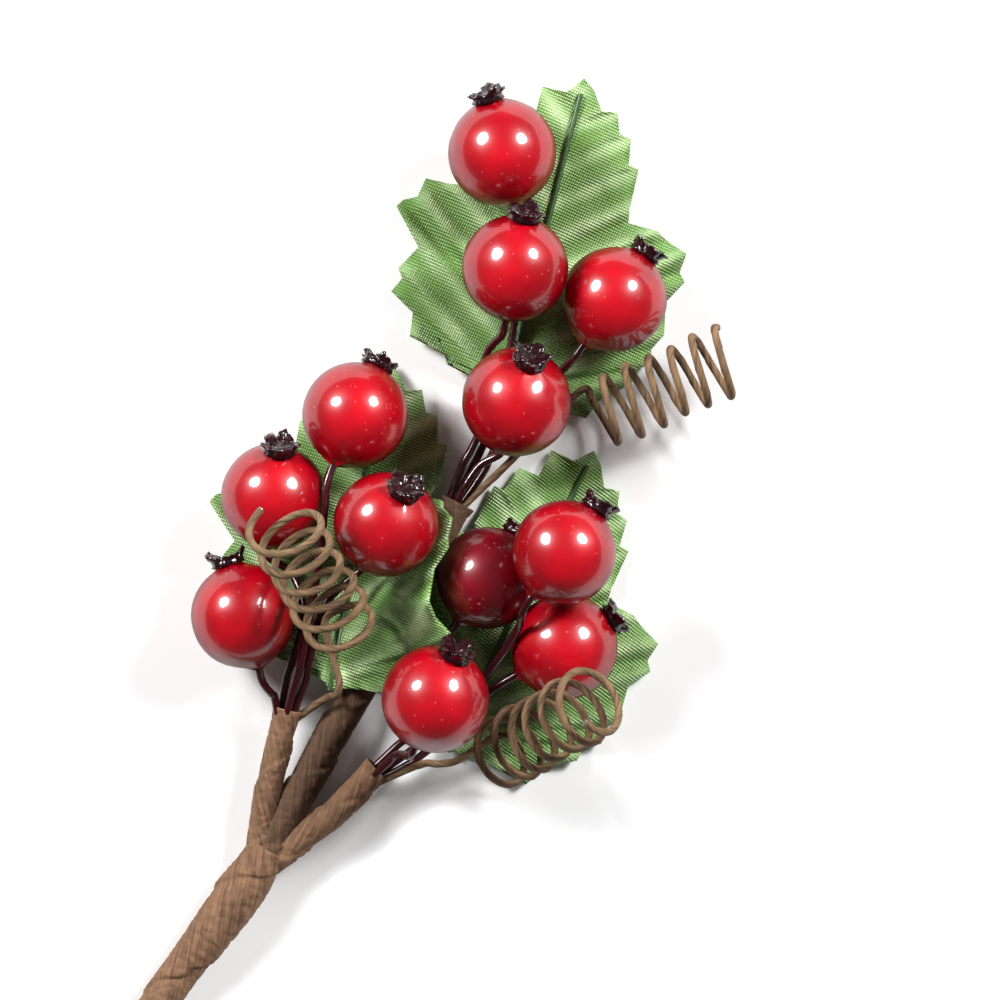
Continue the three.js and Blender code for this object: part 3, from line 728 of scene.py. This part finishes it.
# %% Berry wires, from inside the branch's mouth to inside the ball's cone
pedicels = []
for key in BERRY_KEYS:
    middle, axis, radius, line = PLACES[key]
    mouth, outward = MOUTHS[key.split("_")[0]]
    inside = mouth + (line[0] - mouth) * WIRE_SPREAD - outward * WIRE_HIDDEN
    route = [inside, *line[2:], middle - axis * (radius - 0.5 * MM)]
    skin = sweep_wire(f"berry_wire_{key}", route, wire_lacquer, Radius=0.46 * MM, Step=0.3 * MM,
                      Swell=0.22, Swell_size=520.0, Sides=14)
    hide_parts(f"pedicel_{key}")
    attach(skin, "root")
    pedicels.append(skin)
print(len(pedicels), "berry wires")

# %% Paper tendrils, with their bare steel cores showing at the cut ends
TENDRIL_R = 0.42 * MM
for side in SIDES:
    line, _ = wire_line(f"tendril_{side}")
    mouth = middle_of(f"branch_wrap_{side}")
    if (line[0] - mouth).length > (line[-1] - mouth).length:
        line.reverse()
    opening, outward = MOUTHS[side]
    inside = opening + (line[0] - opening) * WIRE_SPREAD - outward * WIRE_HIDDEN
    skin = sweep_wire(f"paper_tendril_{side}", [inside, *line[2:]], tendril_paper,
                      Radius=TENDRIL_R, Step=0.22 * MM, Swell=0.30, Swell_size=700.0,
                      Turns_per_metre=170.0, Lip=0.20, Sides=16)
    outward = (line[-1] - line[-2]).normalized()
    bare = [line[-1] - outward * 0.6 * MM, line[-1] + outward * 0.15 * MM]
    core = sweep_wire(f"tendril_core_{side}", bare, cut_steel, Radius=0.3 * MM, Step=0.1 * MM,
                      Swell=0.0, Sides=12)
    for piece in (skin, core):
        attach(piece, "root")
    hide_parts(f"tendril_{side}")
    print("tendril", side, len(skin.data.polygons), "faces")

# %% [markdown]
# ## The wound stem
# Floral tape is a narrow crepe paper strip wound round the wires with every turn half over
# the last. What shows is one spiral edge after another, each a tiny step. The skin is a
# round tube whose radius follows a sawtooth along the spiral, with noise for the lumps of the
# wires under it.


# %% A tube wound in tape along a line
TUBE_STEP = 0.22 * MM
UNEVEN_WIND = 0.12  # share of a turn by which the winding wanders
SLOW_LUMP, QUICK_LUMP = 0.022, 0.012  # shares of the radius, from the wires under the paper
CREASE_DEEP, CREASE_WIDE = 0.16 * MM, 0.16
SEAM_SHARE = 0.02  # the part of a turn taken by the drop at the tape's edge
MOUTH_FLARE = 0.16  # the folded paper end opens by this share
MOUTH_REACH = 2.2 * MM  # over this length
MOUTH_DEEP = 1.6 * MM  # how far in the wires can be seen
FIBRE_SLANT = 0.45  # fibres drift round the branch by this share of the length


def wound_tube(name, line, radius_at, pitch, step_height, node_name, finish, around=56, seed=0, mouth=False):
    path = smooth_path(line, 8)
    lengths = [0.0]
    for a, b in zip(path, path[1:]):
        lengths.append(lengths[-1] + (b - a).length)
    count = max(8, int(lengths[-1] / TUBE_STEP))
    goals = [(lengths[-1] * i / count, 1.0) for i in range(count + 1)]
    if mouth:
        goals += [(lengths[-1], 0.86), (lengths[-1] - MOUTH_DEEP / 2, 0.80), (lengths[-1] - MOUTH_DEEP, 0.74)]
    rings, marks = [], []
    side = Vector((1, 0, 0))
    for goal, share_in in goals:
        j = min(len(path) - 2, max(0, np.searchsorted(lengths, goal) - 1))
        share = (goal - lengths[j]) / max(1e-9, lengths[j + 1] - lengths[j])
        centre = path[j].lerp(path[j + 1], share)
        along = (path[j + 1] - path[j]).normalized()
        side = (side - along * side.dot(along)).normalized()
        up = along.cross(side)
        ring = []
        for k in range(around):
            angle = 2 * math.pi * k / around
            direction = side * math.cos(angle) + up * math.sin(angle)
            wobble = UNEVEN_WIND * noise.noise(Vector((goal / MM * 0.35, seed * 9.1, 0.7)))
            turns = goal / pitch - angle / (2 * math.pi) + wobble
            saw = turns - math.floor(turns)
            lap = step_height * (saw ** 0.7 if saw < 1 - SEAM_SHARE else (1 - saw) / SEAM_SHARE)
            spot = Vector((math.cos(angle) * 1.6, math.sin(angle) * 1.6, goal / MM * 0.22 + seed * 7.3))
            lump = SLOW_LUMP * noise.noise(spot) + QUICK_LUMP * noise.noise(spot * 3.1)
            slant = angle + turns
            fold_at = Vector((math.cos(slant) * 2.2, math.sin(slant) * 2.2, goal / MM * 0.9 + seed))
            crease = abs(noise.noise(fold_at))
            r = radius_at(goal) * (1 + lump) + lap
            r -= CREASE_DEEP * max(0.0, CREASE_WIDE - crease) / CREASE_WIDE
            if mouth:
                opening = max(0.0, 1 - (lengths[-1] - goal) / MOUTH_REACH)
                fold = 0.5 + 0.5 * math.sin(3 * angle + seed)
                r *= 1 + MOUTH_FLARE * opening ** 2 * fold
            ring.append(centre + direction * r * share_in)
        rings.append(ring)
        marks.append(goal)
    points, faces = ring_skin(rings)
    tube = new_piece(name, points, faces, finish)
    uv = tube.data.uv_layers.new(name="UVMap")
    width = 2 * math.pi * radius_at(0)
    for polygon in tube.data.polygons:
        ks = [tube.data.loops[i].vertex_index % around for i in polygon.loop_indices]
        wraps = max(ks) - min(ks) > around / 2
        for i, k in zip(polygon.loop_indices, ks):
            row = tube.data.loops[i].vertex_index // around
            k = around if wraps and k == 0 else k
            uv.data[i].uv = (width * k / around + marks[row] * FIBRE_SLANT, marks[row])
    if node_name:
        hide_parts(node_name)
    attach(tube, "root")
    return tube


# %% The middle line of a wrapped branch, fitted through its CAD piece's points
def spine_fit(node, keep=None, degree=3):
    mesh = merged_copy(node)
    places = np.array([v.co[:] for v in mesh.verts if keep is None or keep(v.co)])
    mesh.free()
    fit_x = np.polyfit(places[:, 1], places[:, 0], degree)
    fit_z = np.polyfit(places[:, 1], places[:, 2], degree)
    return fit_x, fit_z, places[:, 1].min(), places[:, 1].max()


def spine_point(fit, y):
    return Vector((np.polyval(fit[0], y), y, np.polyval(fit[1], y)))


# %% Wind the three branches and the stem
branch_low = {side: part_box(f"branch_wrap_{side}")[0][1] for side in SIDES}
FORK_Y = min(branch_low.values()) - 9.0 * MM
STEM_R_END, STEM_R_WAIST, STEM_R_FORK = 2.1 * MM, 2.3 * MM, 2.9 * MM
stem_fit = spine_fit("stem_wrap", keep=lambda p: p.y < FORK_Y - 2 * MM, degree=1)
fork = spine_point(stem_fit, FORK_Y)
fork.z = STEM_R_FORK
BRANCH_R = {"left": 1.5 * MM, "centre": 2.0 * MM, "right": 1.6 * MM}
PAPER_SHARE = 0.88  # the smooth CAD sleeve holds the lumps too, so the skin starts inside it
BRANCH_PITCH, STEM_PITCH, LAP_STEP = 9 * MM, 14 * MM, 0.34 * MM
branch_lines = {}
for number, side in enumerate(SIDES):
    fit = spine_fit(f"branch_wrap_{side}", degree=2)
    low, high = fit[2], fit[3]
    margin = 0.5 * MM
    line = [spine_point(fit, low + margin + (high - low - 2 * margin) * k / 8) for k in range(9)]
    away = (line[0] - fork)
    line = [fork - away.normalized() * 2.5 * MM, fork + away * 0.33, fork + away * 0.66, *line]
    branch_lines[side] = line
    # The centre branch gets the darker copy of the paper, as painted shade.
    wound_tube(f"wound_branch_{side}", line, lambda s, r=BRANCH_R[side] * PAPER_SHARE: r, BRANCH_PITCH,
               LAP_STEP, f"branch_wrap_{side}", branch_paper if side == "centre" else stem_paper,
               around=40, seed=number + 2, mouth=True)
    print("branch", side, "wound from the fork to", [round(v / MM, 1) for v in line[-1]])

stem_way = (spine_point(stem_fit, FORK_Y) - spine_point(stem_fit, stem_fit[2])).normalized()
stem_length = (FORK_Y - stem_fit[2]) / abs(stem_way.y)
marks = 24
stem_line = [spine_point(stem_fit, FORK_Y + (stem_fit[2] + 0.4 * MM - FORK_Y) * k / marks)
             for k in range(marks + 1)]


def eased(t):
    t = min(1.0, max(0.0, t))
    return t * t * (3 - 2 * t)


def stem_radius(s):
    swell = eased((14 * MM - s) / (11 * MM))
    thin = eased((s - 9 * MM) / (17 * MM))
    return STEM_R_WAIST + (STEM_R_FORK - STEM_R_WAIST) * swell - (STEM_R_WAIST - STEM_R_END) * thin


# The last turns run up on to the branches and thin out there.
CROTCH = 3.4 * MM
CROTCH_R = 2.1 * MM
LUMP_ROOM = 1.04  # the lumps and laps stay above the table


def skin_radius(s):
    full = stem_radius(s - CROTCH) * PAPER_SHARE
    return CROTCH_R + (full - CROTCH_R) * eased(s / (CROTCH + 2 * MM))


for k, spot in enumerate(stem_line):
    spot.z = skin_radius(CROTCH + stem_length * k / marks) * LUMP_ROOM + LAP_STEP
lead = (branch_lines["centre"][2] - fork).normalized()
stem_line = [fork + lead * CROTCH, fork + lead * CROTCH * 0.5, *stem_line]
wound_tube("wound_stem", stem_line, skin_radius, STEM_PITCH, LAP_STEP, "stem_wrap", stem_paper,
           around=64, seed=1)
print("stem wound,", round(stem_length / MM, 1), "mm from fork to cut end")

# %% [markdown]
# ## The leaves
# The three leaves are cut with one die from stiffened cloth and pressed hot, so each side
# vein is a ridge that runs out to a tooth. Each leaf starts from its CAD piece, cut finer, and
# gets the veins pressed into it. Its flat coordinates, along and across the rib, are kept as
# a UV map, because the threads follow the cloth and not the room.


# %% Cut a CAD leaf finer and press it
PRESS_VEIN, PRESS_FINE, PRESS_LOOSE = 0.26, 0.035, 0.08  # mm: side veins, fine pleats, slack cloth
FLAT_BY_RIB = 6.0  # mm from the rib at which the veins reach their full height


def build_leaf(side, seed):
    rib, _ = wire_line(f"leaf_rib_{side}")
    rib.sort(key=lambda p: p.y)
    base, tip = rib[0].copy(), rib[-1].copy()
    along = Vector((tip.x - base.x, tip.y - base.y, 0)).normalized()
    across = Vector((along.y, -along.x, 0))
    mesh = merged_copy(f"leaf_{side}")
    bmesh.ops.subdivide_edges(mesh, edges=mesh.edges, cuts=3, use_grid_fill=True)
    mesh.normal_update()
    heights = [Vector((p.dot(along), p.z)) for p in rib]

    def rib_height(u):
        for a, b in zip(heights, heights[1:]):
            if a.x <= u <= b.x:
                return a.y + (b.y - a.y) * (u - a.x) / (b.x - a.x)
        return heights[0].y if u < heights[0].x else heights[-1].y

    layer = mesh.loops.layers.uv.new("UVMap")
    flat = {}
    for v in mesh.verts:
        u = (v.co - base).dot(along)
        w = (v.co - base).dot(across)
        rise = v.co.z - (rib_height(v.co.dot(along)) - 0.9 * MM)
        away = math.copysign(math.hypot(w, rise), w) if abs(w) > 1 * MM else w
        flat[v.index] = (u / MM, away / MM)
    for v in mesh.verts:
        u, w = flat[v.index]
        spread = min(1.0, abs(w) / FLAT_BY_RIB)
        vein = u - VEIN_RAKE * abs(w)
        wave = math.sin(vein * 2 * math.pi / VEIN_PITCH)
        fine = math.sin(vein * 2 * math.pi / 1.7 + 2.0 * noise.noise(Vector((u * 0.15, w * 0.3, seed + 4))))
        press = PRESS_VEIN * spread * wave + PRESS_FINE * spread * fine
        press += PRESS_LOOSE * noise.noise(Vector((u * 0.5, w * 0.5, seed)))
        v.co.z += press * MM
    for face in mesh.faces:
        face.smooth = True
        for loop in face.loops:
            u, w = flat[loop.vert.index]
            loop[layer].uv = (u, w)
    lowest = min(v.co.z for v in mesh.verts)
    if lowest < 0:
        for v in mesh.verts:
            v.co.z -= lowest
    data = bpy.data.meshes.new(f"cloth_leaf_{side}")
    mesh.to_mesh(data)
    mesh.free()
    data.materials.append(leaf_cloth)
    leaf = bpy.data.objects.new(f"cloth_leaf_{side}", data)
    bpy.context.scene.collection.objects.link(leaf)
    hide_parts(f"leaf_{side}")
    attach(leaf, "root")
    sunk = [p - Vector((0, 0, 0.35 * MM)) for p in rib]
    rib_wire = sweep_wire(f"rib_wire_{side}", sunk, rib_coat, Radius=0.3 * MM,
                          Step=0.4 * MM, Swell=0.2, Swell_size=600.0, Sides=12)
    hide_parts(f"leaf_rib_{side}")
    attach(rib_wire, "root")
    return leaf, rib_wire


for number, side in enumerate(SIDES):
    leaf, rib_wire = build_leaf(side, number + 1)
    print("leaf", side, len(leaf.data.polygons), "faces")

# %% The cut wires inside the stem's end
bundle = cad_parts["wire_bundle"]
bundle.data.materials.clear()
bundle.data.materials.append(cut_steel)

# %% [markdown]
# ## Light, floor and camera
# A pick is lit on a pale table by two round soft boxes, one over each shoulder, which is what
# puts the two bright marks on every berry. Each box has a small bright core, so each mark is a
# sharp spot in a soft glow. The camera looks straight down, turned so that the stem runs out at
# the lower left.

# %% Floor, world and soft boxes
WORLD_LIGHT = 0.10
PALE_WALL = 0.85  # how light the room looks past the table, which the berries don't pick up
BOX_WATTS = 8.4
CORE_WATTS = 2.8
floor_material, tree, shader, where = new_material("pale_paper", Roughness=0.9)
tone = mixed(tree, noise_in(tree, where.outputs["Object"], 30.0), (0.86, 0.86, 0.86), (0.90, 0.90, 0.90))
tree.links.new(tone, shader.inputs["Base Color"])
FLOOR_HALF = 0.8
floor_corners = [(FLOOR_HALF * x, FLOOR_HALF * y, 0) for x, y in ((-1, -1), (1, -1), (1, 1), (-1, 1))]
floor = new_piece("floor", floor_corners, [(0, 1, 2, 3)], floor_material, smooth=False)
floor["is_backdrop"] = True

world = bpy.data.worlds.new("studio")
world.use_nodes = True
world.node_tree.nodes["Background"].inputs["Color"].default_value = (1.0, 1.0, 1.0, 1.0)
seen = world.node_tree.nodes.new("ShaderNodeLightPath")
shown = maths(world.node_tree, "MULTIPLY", seen.outputs["Is Camera Ray"], PALE_WALL - WORLD_LIGHT)
strength = maths(world.node_tree, "ADD", shown, WORLD_LIGHT)
world.node_tree.links.new(strength, world.node_tree.nodes["Background"].inputs["Strength"])
bpy.context.scene.world = world
bpy.context.scene.view_settings.view_transform = "Standard"

low, high = (Vector(c) for c in CAD_BOX)
ROLL = math.radians(25.0)
AIM = Vector(((low.x + high.x) / 2 + 3.05 * MM, (low.y + high.y) / 2 + 37.65 * MM, 0.0))
picture_right = Vector((math.cos(ROLL), math.sin(ROLL), 0))
picture_up = Vector((-math.sin(ROLL), math.cos(ROLL), 0))


def soft_box(name, sideways, upward, height, across, watts):
    light = bpy.data.lights.new(name, "AREA")
    light.shape = "DISK"
    light.size = across
    light.energy = watts
    lamp = bpy.data.objects.new(name, light)
    lamp.location = AIM + picture_right * sideways + picture_up * upward + Vector((0, 0, height))
    lamp.rotation_euler = (AIM - lamp.location).to_track_quat("-Z", "Y").to_euler()
    bpy.context.scene.collection.objects.link(lamp)
    return lamp


for label, sideways in (("left", -0.55), ("right", 0.55)):
    soft_box(f"box_{label}", sideways, 0.40, 0.55, 0.34, BOX_WATTS)
    soft_box(f"core_{label}", sideways * 0.96, 0.39, 0.53, 0.10, CORE_WATTS)

# %% Camera, straight above and rolled
CAMERA_HEIGHT = 0.632
camera_data = bpy.data.cameras.new("overhead")
camera_data.sensor_width = 36.0
camera_data.lens = 200.0
camera_data.clip_start = 0.01
camera = bpy.data.objects.new("overhead", camera_data)
camera.matrix_world = Matrix.Translation((AIM.x, AIM.y, CAMERA_HEIGHT)) @ Matrix.Rotation(ROLL, 4, "Z")
bpy.context.scene.collection.objects.link(camera)
bpy.context.scene.camera = camera

# %% Print the CAD box and the visual box, corner by corner
SHOWN_BOX = [list(corner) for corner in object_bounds()]
for label, cad, shown in zip(("lowest", "highest"), CAD_BOX, SHOWN_BOX):
    print(label, "corner in mm: CAD", [round(v / MM, 2) for v in cad])
    print(label, "corner in mm: visual", [round(v / MM, 2) for v in shown])
